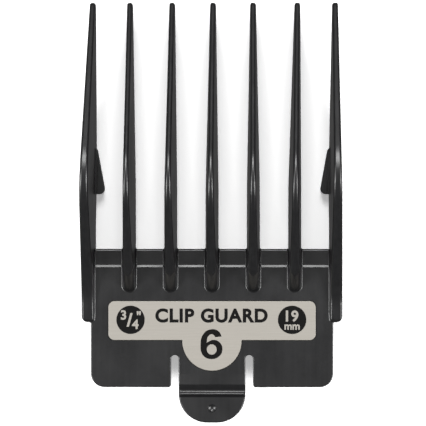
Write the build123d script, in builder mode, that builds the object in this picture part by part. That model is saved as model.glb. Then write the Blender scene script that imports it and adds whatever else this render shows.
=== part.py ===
from build123d import *
from math import cos, radians, sin, tan
import os

# Clipper guard comb: a moulding that snaps under a clipper's blade and sets the length of the cut.
# Millimetres. X runs across the teeth, +Y runs from the snap tab to the tooth tips, and +Z runs from
# the blade to the skin. The origin is the middle of the flat face that the blade seats on.

# The cut, and the blade that the comb is made for
CUT_LENGTH = 19.05          # from the cutting edge to the comb line, 3/4 inch
COMB_ANGLE = 26.5           # the comb line falls towards the tips by this many degrees
EDGE_Y = 25.5               # where the blade's cutting edge lies
BLADE_NOSE_T = 1.8          # room for the blade's thickness at its teeth
BLADE_HEEL_T = 3.2          # room for its thickness at the heel

# The plate
PLATE_W, PLATE_L, PLATE_T = 47.5, 27.1, 1.6
FRONT_Y, REAR_Y = PLATE_L / 2, -PLATE_L / 2
PLATE_CORNER_R = 2.65
SLOT_W, SLOT_TOP_Y = 1.5, -7.25
SLOT_MOUTH_R = 0.55
RIDGE_Y, STEP_L, STEP_DROP, FRONT_DROP = 10.0, 0.4, 0.09, 0.15      # the front lip is stepped down

# The teeth
PITCH = 8.11
TOOTH_T, TIP_T = 2.6, 1.2   # an inner tooth's thickness at the plate and at its tip
DRAFT = 2.2                 # degrees that each side of an inner tooth leans in
TIP_Y, TIP_UNDER_Z = 61.8, 0.7
TIP_SET = [0.16, 0.33, 0.22, -0.06, 0.53]                 # how far each inner tip leans to +X
TAPER_BEND_R = 150
ROOT_Y, HEEL_Y, HEEL_Z = 5.1, 8.7, 7.6                    # the back of a tooth rises from the plate
BACK_SLOPE = 37
KNEE_R, HEEL_R = 11.0, 6.0
EDGE_R = 0.42               # the rounding along every tooth
FOOT_R = 0.35               # the rounding where a tooth stands on the plate

# The outer teeth, which carry the side walls
OUTER_X, OUTER_T, OUTER_DRAFT = 24.34, 2.5, 1.3
OUTER_TIP_SET = {"left": 1.04, "right": -0.24}
WALL_REAR_Y, WALL_FRONT_Y = -0.8, 33.0
WALL_DEPTH, NOSE_DEPTH = 4.0, 5.5
WALL_END_R = 1.3            # the outer corner of each wall's rear end, in plan

# The catches that hold the blade's front corners from behind
CATCH_REAR_Y, CATCH_END_Y = 24.3, 33.0
CATCH_PAD_X, CATCH_NOSE_X = 22.68, 21.1
CATCH_R = 1.1

# The snap tab: a spring leaf, a hook behind the blade's heel, and a lip for the thumb
TAB_W, TAB_END_Y, TAB_END_R = 13.06, -20.6, 5.6
HINGE_Y, HINGE_Z, HINGE_GAP = -11.3, PLATE_T / 2, 0.06
STEP_Y, TROUGH_Y, RIB_Y, LIP_Y = -13.0, -14.25, -15.0, -15.5
TROUGH_Z, RIB_Z, LIP_Z, LIP_T = 0.6, 1.15, 0.25, 1.3
HEEL_EDGE_Y, HOOK_TIP_Y, HOOK_REAR_Y, HOOK_T = -13.4, -12.5, -14.9, 1.2
DIMPLE_Y, DIMPLE_R, DIMPLE_DEPTH = -17.8, 0.85, 0.35

# The badge, and the shallow recess that it lies in
BADGE_W, BADGE_H, BADGE_Y, BADGE_CORNER_R = 40.65, 7.65, -0.49, 1.2
LOBE_Y, LOBE_R = -4.5, 5.82
BADGE_T, BADGE_GAP, RECESS = 0.3, 0.12, 0.35

# The moulding is divided into its named pieces beside each tooth and wall
TOOTH_CUT, TOOTH_CUT_Y, WALL_CUT_X = 1.75, ROOT_Y - 0.5, 22.6

TOP_Z, FAR = 30, 80         # above everything, and beyond everything
os.makedirs("parts", exist_ok=True)


def comb_line_z(y):
    """Height of the comb line, which keeps CUT_LENGTH from the cutting edge."""
    return (CUT_LENGTH - (y - EDGE_Y) * sin(radians(COMB_ANGLE))) / cos(radians(COMB_ANGLE))


def knee(back_y, back_z):
    """Where the rising back of a tooth meets the comb line."""
    slope = tan(radians(BACK_SLOPE))
    y = (comb_line_z(0) - back_z + slope * back_y) / (slope + tan(radians(COMB_ANGLE)))
    return y, comb_line_z(y)


def side_face(x, points, radii):
    """A tooth seen from the side, with some of its corners rounded."""
    with BuildSketch(Plane.YZ.offset(x)) as face:
        with BuildLine():
            Polyline(*points, close=True)
        make_face()
        for index, radius in radii.items():
            fillet(face.vertices().sort_by_distance(points[index])[0], radius)
    return face.sketch


def trim_sides(x, thickness, draft, tip_set):
    """Cut both sides of a tooth to its plan, leaning in by the draft."""
    for side in (1, -1):
        lean = side * tan(radians(draft))
        foot_x = x + side * thickness / 2 + lean * NOSE_DEPTH
        tip_x = x + tip_set + side * TIP_T / 2 + lean * NOSE_DEPTH
        clear_x, rear_y, front_y = x + side * 6, -9, TIP_Y + 1
        with BuildSketch(Plane.XY.offset(-NOSE_DEPTH)) as outside:
            with BuildLine():
                FilletPolyline((foot_x, rear_y), (foot_x, EDGE_Y), (tip_x, front_y), radius=TAPER_BEND_R)
                Polyline((tip_x, front_y), (clear_x, front_y), (clear_x, rear_y), (foot_x, rear_y))
            make_face()
        extrude(outside.sketch, amount=TOP_Z, dir=(-lean, 0, 1), mode=Mode.SUBTRACT)


def round_edges(part_so_far):
    """Round the long edges of a tooth, from the plate over the knee to the tip and back underneath."""
    along = [edge for edge in part_so_far.edges() if abs(edge.tangent_at(0.5).X) < 0.5]
    seams = [edge for edge in along if abs(edge.tangent_at(0.5).Z) > 0.9 and edge.length > 5]
    fillet([edge for edge in along if edge not in seams], EDGE_R)


def round_back(x, back, radius, sides):
    """Round the back of a tooth in plan, along the line from back[0] to back[1] and on past it."""
    (y0, z0), (y1, z1) = back
    with BuildSketch(Plane.XY.offset(z0)) as behind:
        with Locations((x, y0 + radius)):
            for side in sides:
                Rectangle(2 * radius, 8 * radius, align=(Align.MIN if side > 0 else Align.MAX, Align.MAX))
            Circle(radius, mode=Mode.SUBTRACT)
    extrude(behind.sketch, amount=1.6 * (z1 - z0), dir=(0, y1 - y0, z1 - z0), mode=Mode.SUBTRACT)


def meets_plate(edge):
    """Whether an edge is one where a tooth or a wall stands on the plate."""
    middle = edge.center()
    beside = 1.15 < middle.Z < 2.1 and ROOT_Y - 0.5 < middle.Y < FRONT_Y
    behind = abs(middle.Z - PLATE_T) < 0.1 and abs(middle.Y - ROOT_Y) < 0.1
    return (behind or (beside and abs(edge.tangent_at(0.5).X) < 0.5)) and edge.is_interior


def trim_to(mode, x0, x1, y0=-FAR, y1=FAR):
    """Cut away, or keep only, what lies between two X and two Y values, at every height."""
    with Locations(((x0 + x1) / 2, (y0 + y1) / 2)):
        Box(x1 - x0, y1 - y0, 2 * TOP_Z, mode=mode)


inner_knee = knee(HEEL_Y, HEEL_Z)
inner_side = [(ROOT_Y, 0), (ROOT_Y, PLATE_T), (HEEL_Y, HEEL_Z), inner_knee,
              (TIP_Y, comb_line_z(TIP_Y)), (TIP_Y - 0.2, TIP_UNDER_Z)]
inner_radii = {3: KNEE_R, 2: HEEL_R, 4: 1.1, 5: 0.9}

outer_knee = knee(13.0, 9.6)
outer_side = [(WALL_REAR_Y, -WALL_DEPTH), (WALL_REAR_Y, PLATE_T + 0.3), (5.0, 3.1), (13.0, 9.6), outer_knee,
              (TIP_Y, comb_line_z(TIP_Y)), (TIP_Y - 0.2, TIP_UNDER_Z), (WALL_FRONT_Y, -NOSE_DEPTH),
              (24.0, -NOSE_DEPTH), (18.5, -WALL_DEPTH)]
outer_radii = {4: KNEE_R, 3: 12.0, 2: 10.0, 1: 0.8, 5: 1.1, 6: 0.9, 7: 5.0, 8: 4.0, 9: 4.0}

inner_xs = [PITCH * (i - 2) for i in range(len(TIP_SET))]
inner_fins = []
for x, tip_set in zip(inner_xs, TIP_SET):
    with BuildPart() as fin:
        extrude(side_face(x, inner_side, inner_radii), amount=TOOTH_T, both=True)
        trim_sides(x, TOOTH_T, DRAFT, tip_set)
        round_edges(fin)
        round_back(x, [(ROOT_Y, PLATE_T), (HEEL_Y, HEEL_Z)], TOOTH_T / 2, (-1, 1))
    inner_fins.append(fin.part)

outer_fins = {}
for name, sign in (("left", -1), ("right", 1)):
    x = sign * OUTER_X
    with BuildPart() as outer:
        extrude(side_face(x, outer_side, outer_radii), amount=OUTER_T, both=True)
        trim_sides(x, OUTER_T, OUTER_DRAFT, OUTER_TIP_SET[name])
        round_edges(outer)
        corner_x = x + sign * (OUTER_T / 2 - WALL_END_R)
        round_back(corner_x, [(WALL_REAR_Y, -WALL_DEPTH), (WALL_REAR_Y, PLATE_T)], WALL_END_R, (sign,))
    outer_fins[name] = outer.part


with BuildPart() as blank:
    with BuildSketch() as plan:
        with Locations((0, (REAR_Y + RIDGE_Y) / 2)):
            Rectangle(PLATE_W, RIDGE_Y - REAR_Y)
        fillet(plan.vertices().group_by(Axis.Y)[0], PLATE_CORNER_R)
        with Locations((0, REAR_Y)):
            Rectangle(TAB_W + 2 * SLOT_W, 2 * (HINGE_Y - REAR_Y), mode=Mode.SUBTRACT)
        for sign in (-1, 1):
            with Locations((sign * (TAB_W + SLOT_W) / 2, SLOT_TOP_Y - SLOT_W / 2)):
                Circle(SLOT_W / 2, mode=Mode.SUBTRACT)
                Rectangle(SLOT_W, PLATE_L, align=(Align.CENTER, Align.MAX), mode=Mode.SUBTRACT)
        mouths = [v for v in plan.vertices() if abs(v.Y - REAR_Y) < 0.01 and abs(v.X) < TAB_W]
        fillet(mouths, SLOT_MOUTH_R)
    extrude(amount=PLATE_T)
    rims = [e for e in blank.edges() if abs(e.tangent_at(0.5).Z) < 0.1]
    fillet([e for e in rims if min(abs(e.center().Y - y) for y in (RIDGE_Y, HINGE_Y)) > 0.1], 0.2)
    with BuildSketch(Plane.YZ) as lip:
        with BuildLine():
            Polyline((RIDGE_Y - 1, 0), (RIDGE_Y - 1, PLATE_T), (RIDGE_Y, PLATE_T),
                     (RIDGE_Y + STEP_L, PLATE_T - STEP_DROP), (FRONT_Y, PLATE_T - FRONT_DROP), (FRONT_Y, 0),
                     close=True)
        make_face()
        fillet(lip.vertices().sort_by_distance((FRONT_Y, PLATE_T - FRONT_DROP))[0], 0.35)
        fillet(lip.vertices().sort_by_distance((FRONT_Y, 0))[0], 0.25)
    extrude(amount=PLATE_W / 2, both=True)

badge_outline = {}
for name, grow in (("recess", BADGE_GAP), ("badge", 0)):
    with BuildSketch(Plane.XY.offset(PLATE_T - RECESS)) as outline:
        with Locations((0, BADGE_Y)):
            RectangleRounded(BADGE_W + 2 * grow, BADGE_H + 2 * grow, BADGE_CORNER_R + grow)
        with Locations((0, LOBE_Y)):
            Circle(LOBE_R + grow)
    badge_outline[name] = outline.sketch

with BuildPart() as moulding:
    add(blank.part)
    add(inner_fins)
    add(list(outer_fins.values()))
    fillet([edge for edge in moulding.edges() if meets_plate(edge)], FOOT_R)
    extrude(badge_outline["recess"], amount=1, mode=Mode.SUBTRACT)
    with Locations((0, HINGE_Y, HINGE_Z)):
        Cylinder(PLATE_T / 2 + HINGE_GAP, TAB_W + SLOT_W, rotation=(0, 90, 0), mode=Mode.SUBTRACT)

parts = {}
with BuildPart() as seat_plate:
    add(moulding.part)
    for x in inner_xs:
        trim_to(Mode.SUBTRACT, x - TOOTH_CUT, x + TOOTH_CUT, y0=TOOTH_CUT_Y)
    trim_to(Mode.SUBTRACT, WALL_CUT_X, FAR, y0=WALL_REAR_Y)
    trim_to(Mode.SUBTRACT, -FAR, -WALL_CUT_X, y0=WALL_REAR_Y)
parts["seat_plate"] = seat_plate.part

for index, x in enumerate(inner_xs, 1):
    with BuildPart() as inner_tooth:
        add(moulding.part)
        trim_to(Mode.INTERSECT, x - TOOTH_CUT, x + TOOTH_CUT, y0=TOOTH_CUT_Y)
    parts[f"inner_tooth_{index}"] = inner_tooth.part

for name, sign in (("left", -1), ("right", 1)):
    outside = sorted((sign * WALL_CUT_X, sign * FAR))
    with BuildPart() as side_wall:
        add(moulding.part)
        trim_to(Mode.INTERSECT, *outside, y0=WALL_REAR_Y, y1=FRONT_Y)
    parts[f"side_wall_{name}"] = side_wall.part

    with BuildPart() as outer_tooth:
        add(moulding.part)
        trim_to(Mode.INTERSECT, *outside, y0=FRONT_Y)
    parts[f"outer_tooth_{name}"] = outer_tooth.part

    with BuildPart() as blade_catch:
        with BuildSketch(Plane.XY.offset(-NOSE_DEPTH)) as pad:
            with BuildLine():
                Polyline((sign * OUTER_X, CATCH_REAR_Y), (sign * CATCH_PAD_X, CATCH_REAR_Y),
                         (sign * CATCH_PAD_X, CATCH_END_Y), (sign * OUTER_X, CATCH_END_Y + 2), close=True)
            make_face()
        extrude(amount=NOSE_DEPTH)
        with BuildSketch(Plane.XY.offset(-NOSE_DEPTH)) as nose:
            with BuildLine():
                Polyline((sign * OUTER_X, CATCH_REAR_Y), (sign * CATCH_NOSE_X, CATCH_REAR_Y),
                         (sign * CATCH_PAD_X, CATCH_END_Y), (sign * OUTER_X, CATCH_END_Y), close=True)
            make_face()
            fillet(nose.vertices().sort_by_distance((sign * CATCH_NOSE_X, CATCH_REAR_Y))[0], CATCH_R)
        extrude(amount=NOSE_DEPTH - BLADE_NOSE_T)
        add(outer_fins[name], mode=Mode.SUBTRACT)
    parts[f"blade_catch_{name}"] = blade_catch.part

with BuildPart() as badge:
    extrude(badge_outline["badge"], amount=BADGE_T)
    fillet(badge.edges().group_by(Axis.Z)[-1], 0.08)
parts["badge"] = badge.part

tab_side = [(HINGE_Y, PLATE_T), (STEP_Y, PLATE_T), (TROUGH_Y, TROUGH_Z), (RIB_Y, RIB_Z), (LIP_Y, LIP_Z),
            (TAB_END_Y - 1, LIP_Z), (TAB_END_Y - 1, LIP_Z - LIP_T), (HOOK_REAR_Y, LIP_Z - LIP_T),
            (HOOK_REAR_Y, -BLADE_HEEL_T - HOOK_T), (HOOK_TIP_Y, -BLADE_HEEL_T - 0.6),
            (HOOK_TIP_Y, -BLADE_HEEL_T), (HEEL_EDGE_Y, -BLADE_HEEL_T), (HEEL_EDGE_Y, 0), (HINGE_Y, 0)]
tab_radii = {1: 0.7, 2: 0.45, 3: 0.3, 4: 0.25, 7: 0.5, 8: 0.6, 9: 0.3, 10: 0.25, 11: 0.15, 12: 0.25}
ball_r = (DIMPLE_R ** 2 + DIMPLE_DEPTH ** 2) / (2 * DIMPLE_DEPTH)
with BuildPart() as tab:
    extrude(side_face(0, tab_side, tab_radii), amount=TAB_W / 2, both=True)
    with BuildSketch(Plane.XY.offset(-10)) as tab_plan:
        with Locations((0, HINGE_Y)):
            Rectangle(TAB_W, HINGE_Y - TAB_END_Y, align=(Align.CENTER, Align.MAX))
        fillet(tab_plan.vertices().group_by(Axis.Y)[0], TAB_END_R)
    extrude(tab_plan.sketch, amount=20, mode=Mode.INTERSECT)
    lip_rim = [e for e in tab.edges() if e.center().Y < LIP_Y - 0.5 and abs(e.tangent_at(0.5).Z) < 0.1]
    fillet(lip_rim, 0.25)
    with Locations((0, HINGE_Y, HINGE_Z)):
        Cylinder(PLATE_T / 2, TAB_W, rotation=(0, 90, 0))
    with Locations((0, DIMPLE_Y, LIP_Z - DIMPLE_DEPTH + ball_r)):
        Sphere(ball_r, mode=Mode.SUBTRACT)

with BuildPart() as spring_leaf:
    add(tab.part)
    with Locations((0, STEP_Y, HINGE_Z)):
        Box(TAB_W, PLATE_L, PLATE_T, align=(Align.CENTER, Align.MIN, Align.CENTER), mode=Mode.INTERSECT)
parts["spring_leaf"] = spring_leaf.part

with BuildPart() as heel_hook:
    add(tab.part)
    add(spring_leaf.part, mode=Mode.SUBTRACT)
    trim_to(Mode.INTERSECT, -TAB_W, TAB_W, y0=LIP_Y)
parts["heel_hook"] = heel_hook.part

with BuildPart() as thumb_lip:
    add(tab.part)
    trim_to(Mode.INTERSECT, -TAB_W, TAB_W, y1=LIP_Y)
parts["thumb_lip"] = thumb_lip.part

for name, solid in parts.items():
    solid.label = name
    export_step(solid, f"parts/{name}.step")
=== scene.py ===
import math

import bpy
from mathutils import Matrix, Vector


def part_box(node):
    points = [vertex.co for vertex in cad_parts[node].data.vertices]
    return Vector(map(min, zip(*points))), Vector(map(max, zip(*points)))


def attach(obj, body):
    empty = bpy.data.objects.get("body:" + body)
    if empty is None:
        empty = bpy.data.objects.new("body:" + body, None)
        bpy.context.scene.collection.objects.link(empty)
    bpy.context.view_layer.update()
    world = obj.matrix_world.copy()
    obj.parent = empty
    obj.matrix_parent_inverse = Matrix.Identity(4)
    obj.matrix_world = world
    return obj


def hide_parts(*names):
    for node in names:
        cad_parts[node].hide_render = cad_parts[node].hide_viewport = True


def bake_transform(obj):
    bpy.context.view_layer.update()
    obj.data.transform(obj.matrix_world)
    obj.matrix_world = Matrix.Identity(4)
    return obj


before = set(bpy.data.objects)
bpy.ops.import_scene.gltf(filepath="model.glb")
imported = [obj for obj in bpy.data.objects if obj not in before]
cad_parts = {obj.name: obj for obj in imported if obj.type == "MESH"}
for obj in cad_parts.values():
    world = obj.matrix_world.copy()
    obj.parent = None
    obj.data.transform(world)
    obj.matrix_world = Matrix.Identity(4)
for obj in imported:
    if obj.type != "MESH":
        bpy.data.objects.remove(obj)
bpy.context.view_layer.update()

# Clipper guard comb: a charcoal moulding with seven long teeth, a printed metal badge and a snap tab.
# Metres, in the same frame as the CAD: X across the teeth, +Y to the tooth tips, +Z to the skin.

MM = 0.001

PLATE_TOP = 1.6 * MM
TAB_HALF_W = 6.53 * MM
FLEX_START_Y, FLEX_END_Y = -10.984 * MM, -13.0 * MM      # where the tab's plastic bends
FLEX_SPANS = 8                                           # straight spans that the strip is cut into
RIM_R = 0.2 * MM
INK = 0.015 * MM                                         # how far the print stands above the badge
FLOOR_Z = -5.5 * MM                                      # the lower edge of the side walls


# ---------------------------------------------------------------- modelling by hand

def deselect():
    if bpy.context.object and bpy.context.object.mode != "OBJECT":
        bpy.ops.object.mode_set(mode="OBJECT")
    bpy.ops.object.select_all(action="DESELECT")


def activate(piece):
    deselect()
    piece.select_set(True)
    bpy.context.view_layer.objects.active = piece


def settle(piece):
    """Put the piece's place into its mesh, so its object sits at the origin."""
    activate(piece)
    bpy.ops.object.transform_apply(location=True, rotation=True, scale=True)


def name_piece(piece, name):
    piece.name = name
    piece.data.name = name


def select_edges(piece, chosen):
    """Enter edit mode with only the edges that chosen(end, end) is true for."""
    activate(piece)
    bpy.ops.object.mode_set(mode="EDIT")
    bpy.ops.mesh.select_mode(type="EDGE")
    bpy.ops.mesh.select_all(action="DESELECT")
    bpy.ops.object.mode_set(mode="OBJECT")
    points = piece.data.vertices
    for edge in piece.data.edges:
        edge.select = chosen(*(points[i].co for i in edge.vertices))
    bpy.ops.object.mode_set(mode="EDIT")


def block(name, low, high):
    """A box between two corners."""
    deselect()
    middle = [(a + b) / 2 for a, b in zip(low, high)]
    bpy.ops.mesh.primitive_cube_add(size=1, location=middle,
                                    scale=[b - a for a, b in zip(low, high)])
    piece = bpy.context.object
    settle(piece)
    name_piece(piece, name)
    return piece


# ---------------------------------------------------------------- materials

def colour(hex_value):
    """An sRGB hex colour as the linear values that the shader takes."""
    parts = [int(hex_value[i:i + 2], 16) / 255 for i in (0, 2, 4)]
    return [p / 12.92 if p <= 0.04045 else ((p + 0.055) / 1.055) ** 2.4 for p in parts] + [1]


def node(tree, kind, settings=None, links=None):
    """Add a node, set its sockets and properties, and link its inputs to other nodes' outputs."""
    made = tree.nodes.new(kind)
    for key, value in (settings or {}).items():
        if key in made.inputs:
            made.inputs[key].default_value = value
        else:
            setattr(made, key, value)
    for key, (source, output) in (links or {}).items():
        tree.links.new(source.outputs[output], made.inputs[key])
    return made


def ramp(tree, source, output, stops):
    """A colour ramp over another node's output: stops are (position, grey)."""
    made = node(tree, "ShaderNodeValToRGB", links={"Fac": (source, output)})
    for element, (position, grey) in zip(made.color_ramp.elements, stops):
        element.position = position
        element.color = (grey, grey, grey, 1)
    return made


def new_material(name, settings):
    """A material with its Principled shader: returns the material, its tree and the shader."""
    material = bpy.data.materials.new(name)
    material.use_nodes = True
    tree = material.node_tree
    shader = tree.nodes["Principled BSDF"]
    for key, value in settings.items():
        shader.inputs[key].default_value = value
    return material, tree, shader


def moulded_abs():
    """Charcoal ABS from a spark-finished mould: a satin black with a very fine grain, faint streaks
    along the teeth, and a few rubbed patches."""
    material, tree, shader = new_material("charcoal_abs_moulded", {
        "IOR": 1.54, "Specular IOR Level": 0.5})
    place = node(tree, "ShaderNodeTexCoord")
    # Spark-finish grain is about 0.03 mm. It is drawn at 0.25 mm, as coarse as it needs to show.
    grain = node(tree, "ShaderNodeTexNoise", {"Scale": 1 / (0.25 * MM), "Detail": 3.0},
                 {"Vector": (place, "Object")})
    # Streaks a millimetre apart run along each tooth, where the melt flowed to the tips.
    flow = node(tree, "ShaderNodeMapping", {"Scale": (1.0, 0.06, 1.0)},
                {"Vector": (place, "Object")})
    streaks = node(tree, "ShaderNodeTexNoise",
                   {"Scale": 1 / (0.9 * MM), "Detail": 4.0, "Roughness": 0.6},
                   {"Vector": (flow, "Vector")})
    # Handling rubs patches about 8 mm across a little smoother.
    rubbed = node(tree, "ShaderNodeTexNoise", {"Scale": 1 / (8 * MM), "Detail": 3.0},
                  {"Vector": (place, "Object")})
    shade = node(tree, "ShaderNodeMix",
                 {"data_type": "RGBA", "A": colour("0f0f10"), "B": colour("161617")},
                 {"Factor": (ramp(tree, streaks, "Fac", [(0.35, 0.0), (0.7, 1.0)]), "Color")})
    tree.links.new(shade.outputs["Result"], shader.inputs["Base Color"])
    gloss = node(tree, "ShaderNodeMapRange",
                 {"From Min": 0.35, "From Max": 0.7, "To Min": 0.31, "To Max": 0.25},
                 {"Value": (rubbed, "Fac")})
    fine = node(tree, "ShaderNodeMath", {"operation": "MULTIPLY_ADD"},
                {0: (grain, "Fac"), 2: (gloss, "Result")})
    fine.inputs[1].default_value = 0.08                   # how much the grain roughens the surface
    tree.links.new(fine.outputs["Value"], shader.inputs["Roughness"])
    bump = node(tree, "ShaderNodeBump", {"Strength": 0.25, "Distance": 0.01 * MM},
                {"Height": (grain, "Fac")})
    tree.links.new(bump.outputs["Normal"], shader.inputs["Normal"])
    return material


def satin_foil():
    """Satin aluminium foil label stock under clear lacquer: a warm light grey, with fine brushing
    across the badge that only just shows."""
    material, tree, shader = new_material("aluminium_foil_satin", {
        "Metallic": 0.35, "Roughness": 0.5, "Coat Weight": 0.15, "Coat Roughness": 0.3})
    place = node(tree, "ShaderNodeTexCoord")
    # Brushing lines are about 0.05 mm apart, drawn at 0.15 mm so that they show, and 6 mm long.
    along = node(tree, "ShaderNodeMapping", {"Scale": (0.025, 1.0, 1.0)},
                 {"Vector": (place, "Object")})
    lines = node(tree, "ShaderNodeTexNoise", {"Scale": 1 / (0.15 * MM), "Detail": 2.0},
                 {"Vector": (along, "Vector")})
    shade = node(tree, "ShaderNodeMix",
                 {"data_type": "RGBA", "A": colour("88847d"), "B": colour("928e87")},
                 {"Factor": (lines, "Fac")})
    tree.links.new(shade.outputs["Result"], shader.inputs["Base Color"])
    bump = node(tree, "ShaderNodeBump", {"Strength": 0.12, "Distance": 0.01 * MM},
                {"Height": (lines, "Fac")})
    tree.links.new(bump.outputs["Normal"], shader.inputs["Normal"])
    return material


def printing_ink():
    """Screen-printed black ink: a dense warm black with a dull sheen, thinner here and there."""
    material, tree, shader = new_material("screen_ink_black", {
        "Roughness": 0.45, "IOR": 1.5, "Specular IOR Level": 0.1})
    place = node(tree, "ShaderNodeTexCoord")
    # The ink's thin spots are about 0.4 mm across.
    mottle = node(tree, "ShaderNodeTexNoise", {"Scale": 1 / (0.4 * MM), "Detail": 3.0},
                  {"Vector": (place, "Object")})
    shade = node(tree, "ShaderNodeMix",
                 {"data_type": "RGBA", "A": colour("060605"), "B": colour("0c0c0b")},
                 {"Factor": (mottle, "Fac")})
    tree.links.new(shade.outputs["Result"], shader.inputs["Base Color"])
    return material


abs_plastic, foil, ink = moulded_abs(), satin_foil(), printing_ink()


def paint(piece, material):
    piece.data.materials.clear()
    piece.data.materials.append(material)


for cad_name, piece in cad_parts.items():
    paint(piece, foil if cad_name == "badge" else abs_plastic)


# ---------------------------------------------------------------- the bending root of the snap tab

flex_strip = block("tab_flex_strip", (-TAB_HALF_W, FLEX_END_Y, 0),
                   (TAB_HALF_W, FLEX_START_Y, PLATE_TOP))
select_edges(flex_strip, lambda a, b: abs(a.y - b.y) > MM)
bpy.ops.mesh.bevel(offset=RIM_R, segments=4, affect="EDGES")
bpy.ops.mesh.select_all(action="DESELECT")
bpy.ops.object.mode_set(mode="OBJECT")
for step in range(1, FLEX_SPANS):
    cut_y = FLEX_START_Y + (FLEX_END_Y - FLEX_START_Y) * step / FLEX_SPANS
    bpy.ops.object.mode_set(mode="EDIT")
    bpy.ops.mesh.select_all(action="SELECT")
    bpy.ops.mesh.bisect(plane_co=(0, cut_y, 0), plane_no=(0, 1, 0))
    bpy.ops.object.mode_set(mode="OBJECT")
activate(flex_strip)
bpy.ops.object.shade_smooth_by_angle(angle=math.radians(40))
paint(flex_strip, abs_plastic)
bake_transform(flex_strip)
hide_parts("spring_leaf")


# ---------------------------------------------------------------- the print on the badge

badge_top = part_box("badge")[1].z


def printed(piece, name, material):
    """Finish a printed piece: it lies on the badge and takes the ink or the bare foil."""
    settle(piece)
    name_piece(piece, name)
    paint(piece, material)
    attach(piece, "comb")
    return piece


RAW_DEPTH = 0.001                    # half the depth of lettering before it is scaled to the ink


def lettering(name, words, place, height, material, weight, lift=INK, spacing=1.0):
    """Flat lettering of a cap height, centred on a place. Its ink is INK deep and ends at lift."""
    deselect()
    bpy.ops.object.text_add()
    text = bpy.context.object
    text.data.body = words
    text.data.size = 1.0
    text.data.offset = weight
    text.data.extrude = RAW_DEPTH
    text.data.space_character = spacing
    text.data.resolution_u = 6
    bpy.ops.object.convert(target="MESH")
    piece = bpy.context.object
    bpy.ops.object.mode_set(mode="EDIT")
    bpy.ops.mesh.select_all(action="SELECT")
    bpy.ops.mesh.remove_doubles(threshold=0.0001)
    bpy.ops.object.mode_set(mode="OBJECT")
    xs = [v.co.x for v in piece.data.vertices]
    ys = [v.co.y for v in piece.data.vertices]
    scale = height / (max(ys) - min(ys))
    half_thickness = INK / 2
    piece.scale = (scale, scale, half_thickness / RAW_DEPTH)
    piece.location = (place[0] - scale * (max(xs) + min(xs)) / 2,
                      place[1] - scale * (max(ys) + min(ys)) / 2,
                      badge_top + lift - half_thickness)
    return printed(piece, name, material)


def ink_disc(name, place, radius):
    """A printed round."""
    deselect()
    bpy.ops.mesh.primitive_cylinder_add(vertices=96, radius=radius, depth=INK,
                                        location=(place[0], place[1], badge_top + INK / 2))
    return printed(bpy.context.object, name, ink)


# The plain bold six: its outline from the open end of the top stroke, round to where it starts again,
# and the eye. Each point is (across, up), in parts of the figure's width, and sharp ones are marked.
SIX_OUTLINE = [(0.95, 0.99, "sharp"), (0.82, 1.21, ""), (0.53, 1.31, ""), (0.17, 1.13, ""),
               (0.02, 0.62, ""), (0.14, 0.15, ""), (0.50, 0.00, ""), (0.85, 0.13, ""),
               (0.98, 0.43, ""), (0.86, 0.73, ""), (0.58, 0.84, ""), (0.29, 0.72, "sharp"),
               (0.35, 0.99, ""), (0.53, 1.09, ""), (0.68, 0.96, "sharp")]
SIX_EYE = [(0.51 + 0.215 * math.cos(turn), 0.42 + 0.225 * math.sin(turn), "")
           for turn in (math.radians(45 * i) for i in range(8))]


def guard_number(name, place, height):
    """The figure that names the guard's size, drawn as a flat outline with a round eye."""
    deselect()
    flat = bpy.data.curves.new(name, "CURVE")
    flat.dimensions = "2D"
    flat.fill_mode = "BOTH"
    flat.extrude = INK / 2
    flat.resolution_u = 10
    scale = height / max(point[1] for point in SIX_OUTLINE)
    for outline in (SIX_OUTLINE, SIX_EYE):
        spline = flat.splines.new("BEZIER")
        spline.bezier_points.add(len(outline) - 1)
        spline.use_cyclic_u = True
        for point, (across, up, _) in zip(spline.bezier_points, outline):
            point.co = ((across - 0.5) * scale, up * scale - height / 2, 0)
            point.handle_left_type = point.handle_right_type = "AUTO"
    piece = bpy.data.objects.new(name, flat)
    bpy.context.scene.collection.objects.link(piece)
    bpy.context.view_layer.update()
    for point, (_, _, corner) in zip(flat.splines[0].bezier_points, SIX_OUTLINE):
        if corner:
            point.handle_left_type = point.handle_right_type = "VECTOR"
    activate(piece)
    bpy.ops.object.convert(target="MESH")
    piece = bpy.context.object
    piece.location = (place[0], place[1], badge_top + INK / 2)
    return printed(piece, name, ink)


LEFT_DISC, RIGHT_DISC, DISC_R = (-15.97 * MM, -0.34 * MM), (15.70 * MM, -0.34 * MM), 2.78 * MM
ink_disc("print_round_left", LEFT_DISC, DISC_R)
ink_disc("print_round_right", RIGHT_DISC, DISC_R)
# The cut in inches is a stacked fraction; the lettering in the discs lies on top of their ink.
on_disc = {"material": foil, "weight": 0.03, "lift": 2 * INK}
lettering("print_inches_over", "3", (-17.35 * MM, 0.6 * MM), 1.9 * MM, **on_disc)
lettering("print_inches_slash", "/", (-16.15 * MM, -0.35 * MM), 2.7 * MM, **on_disc)
lettering("print_inches_under", "4", (-15.05 * MM, -1.2 * MM), 1.9 * MM, **on_disc)
lettering("print_inches_mark", "\"", (-14.35 * MM, 0.95 * MM), 0.8 * MM, **on_disc)
lettering("print_cut_number", "19", (RIGHT_DISC[0], 0.4 * MM), 2.25 * MM, spacing=1.06, **on_disc)
lettering("print_cut_unit", "mm", (RIGHT_DISC[0], -1.75 * MM), 1.05 * MM, **on_disc)
lettering("print_title", "CLIP GUARD", (-0.1 * MM, 0.5 * MM), 2.8 * MM, ink,
          weight=0.04, spacing=1.1)
guard_number("print_guard_number", (-0.1 * MM, -5.1 * MM), 5.85 * MM)


# ---------------------------------------------------------------- floor, light and camera

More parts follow.
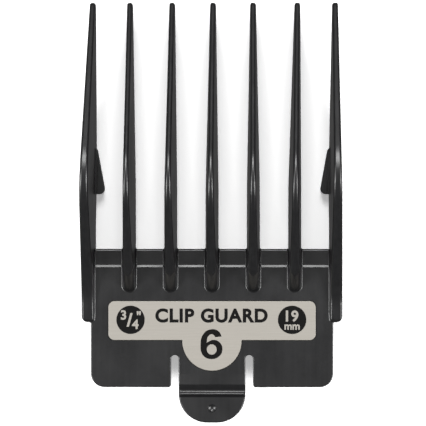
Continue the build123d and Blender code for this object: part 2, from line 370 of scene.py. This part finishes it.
def studio_white():
    """Matt white paper on a light table, which keeps the hair gaps bright."""
    material, _, _ = new_material("paper_white_matt", {
        "Base Color": colour("f7f7f7"), "Roughness": 0.9, "Specular IOR Level": 0.2,
        "Emission Color": colour("ffffff"), "Emission Strength": 0.4})
    return material


deselect()
bpy.ops.mesh.primitive_plane_add(size=2.0, location=(0, 0, FLOOR_Z))
floor = bpy.context.object
settle(floor)
name_piece(floor, "floor")
paint(floor, studio_white())
floor.visible_glossy = False                    # the sides of the teeth don't mirror the paper


MIDDLE = Vector((0, 20 * MM, 0))                          # the lights face the middle of the comb


def softbox(name, towards, distance, size, brightness):
    """A softbox that faces the comb from a direction, its power set by how bright its face is."""
    light = bpy.data.lights.new(name, "AREA")
    light.shape = "RECTANGLE"
    light.size, light.size_y = size
    light.energy = brightness * math.pi * size[0] * size[1]
    lamp = bpy.data.objects.new(name, light)
    bpy.context.scene.collection.objects.link(lamp)
    direction = Vector(towards).normalized()
    lamp.location = MIDDLE + direction * distance
    lamp.rotation_euler = direction.to_track_quat("Z", "Y").to_euler()


def raised(degrees, side=(0, 1)):
    """A direction raised above the floor by an angle, on one side of the comb."""
    flat = math.cos(math.radians(degrees))
    return (side[0] * flat, side[1] * flat, math.sin(math.radians(degrees)))


# The key lights the fronts of the knees and the front step; the panels draw lines on their edges.
softbox("key_beyond_tips", raised(60), 0.85, (0.28, 0.32), 18.0)
for name, across in (("panel_left", -0.95), ("panel_right", 0.95)):
    softbox(name, raised(42, (across, -0.3)), 0.8, (0.3, 0.45), 15.5)

world = bpy.data.worlds.new("studio")
world.use_nodes = True
background = world.node_tree.nodes["Background"]
background.inputs["Color"].default_value = colour("ffffff")
background.inputs["Strength"].default_value = 0.15
bpy.context.scene.world = world

camera_data = bpy.data.cameras.new("camera")
camera = bpy.data.objects.new("camera", camera_data)
bpy.context.scene.collection.objects.link(camera)
camera.location = (10.4 * MM, 20.6 * MM, 641.6 * MM)
camera.rotation_euler = (0, math.atan(10.2 / 640), 0)     # down at the middle of the comb
camera_data.sensor_width = 36.0
camera_data.lens = 276.0
camera_data.clip_start, camera_data.clip_end = 0.01, 10.0
bpy.context.scene.camera = camera
bpy.context.scene.view_settings.view_transform = "Standard"
